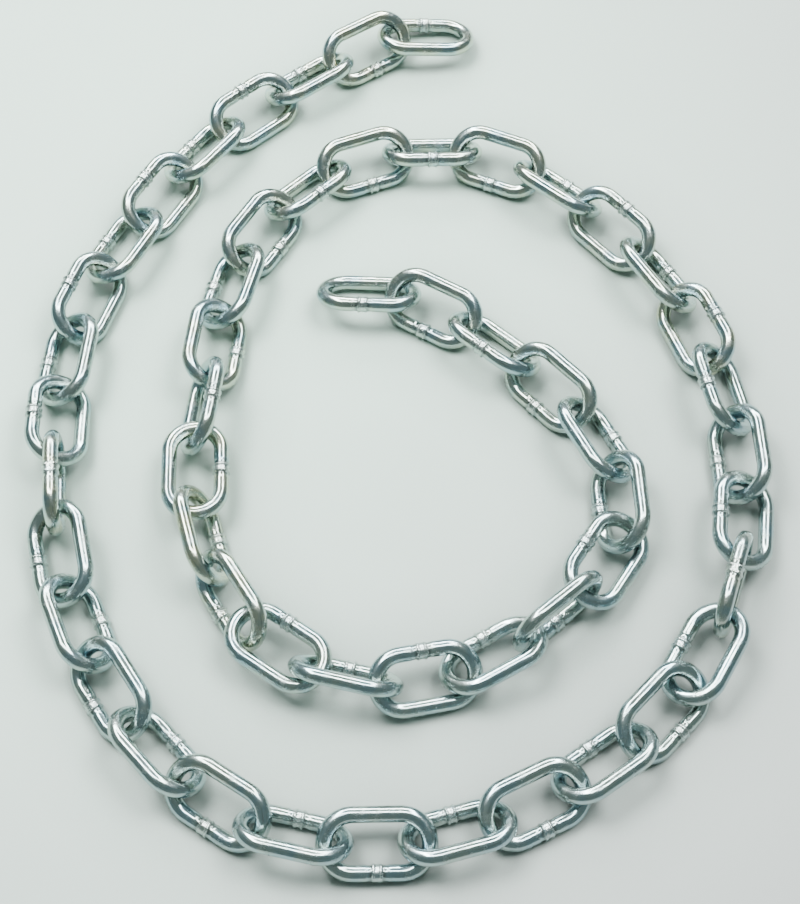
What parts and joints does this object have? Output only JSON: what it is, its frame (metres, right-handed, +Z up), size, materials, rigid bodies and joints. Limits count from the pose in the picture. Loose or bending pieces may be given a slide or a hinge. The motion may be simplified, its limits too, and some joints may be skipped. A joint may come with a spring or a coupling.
{
  "type": "length of steel chain",
  "caption": "Length of zinc plated welded steel chain, laid flat in an open spiral with both ends free.",
  "frame": {"origin": "on the floor under the middle of the spiral's box", "axes": "+Z up from the floor the chain lies on, +Y towards the outer free end, +X to the right of it seen from above"},
  "size_m": [0.1806, 0.247, 0.0162],
  "materials": {
    "zinc_plated_steel": "bright zinc plating, drawn wire"
  },
  "bodies": {
    "root": {"link_01": "zinc_plated_steel", "link_02": "zinc_plated_steel", "link_03": "zinc_plated_steel", "link_04": "zinc_plated_steel", "link_05": "zinc_plated_steel", "link_06": "zinc_plated_steel", "link_07": "zinc_plated_steel", "link_08": "zinc_plated_steel", "link_09": "zinc_plated_steel", "link_10": "zinc_plated_steel", "link_11": "zinc_plated_steel", "link_12": "zinc_plated_steel", "link_13": "zinc_plated_steel", "link_14": "zinc_plated_steel", "link_15": "zinc_plated_steel", "link_16": "zinc_plated_steel", "link_17": "zinc_plated_steel", "link_18": "zinc_plated_steel", "link_19": "zinc_plated_steel", "link_20": "zinc_plated_steel", "link_21": "zinc_plated_steel", "link_22": "zinc_plated_steel", "link_23": "zinc_plated_steel", "link_24": "zinc_plated_steel", "link_25": "zinc_plated_steel", "link_26": "zinc_plated_steel", "link_27": "zinc_plated_steel", "link_28": "zinc_plated_steel", "link_29": "zinc_plated_steel", "link_30": "zinc_plated_steel", "link_31": "zinc_plated_steel", "link_32": "zinc_plated_steel", "link_33": "zinc_plated_steel", "link_34": "zinc_plated_steel", "link_35": "zinc_plated_steel", "link_36": "zinc_plated_steel", "link_37": "zinc_plated_steel", "link_38": "zinc_plated_steel", "link_39": "zinc_plated_steel", "link_40": "zinc_plated_steel", "link_41": "zinc_plated_steel", "link_42": "zinc_plated_steel", "link_43": "zinc_plated_steel", "link_44": "zinc_plated_steel", "link_45": "zinc_plated_steel", "link_46": "zinc_plated_steel", "link_47": "zinc_plated_steel", "link_48": "zinc_plated_steel", "link_49": "zinc_plated_steel", "link_50": "zinc_plated_steel", "link_51": "zinc_plated_steel", "link_52": "zinc_plated_steel", "link_53": "zinc_plated_steel", "link_54": "zinc_plated_steel"}
  },
  "joints": []
}
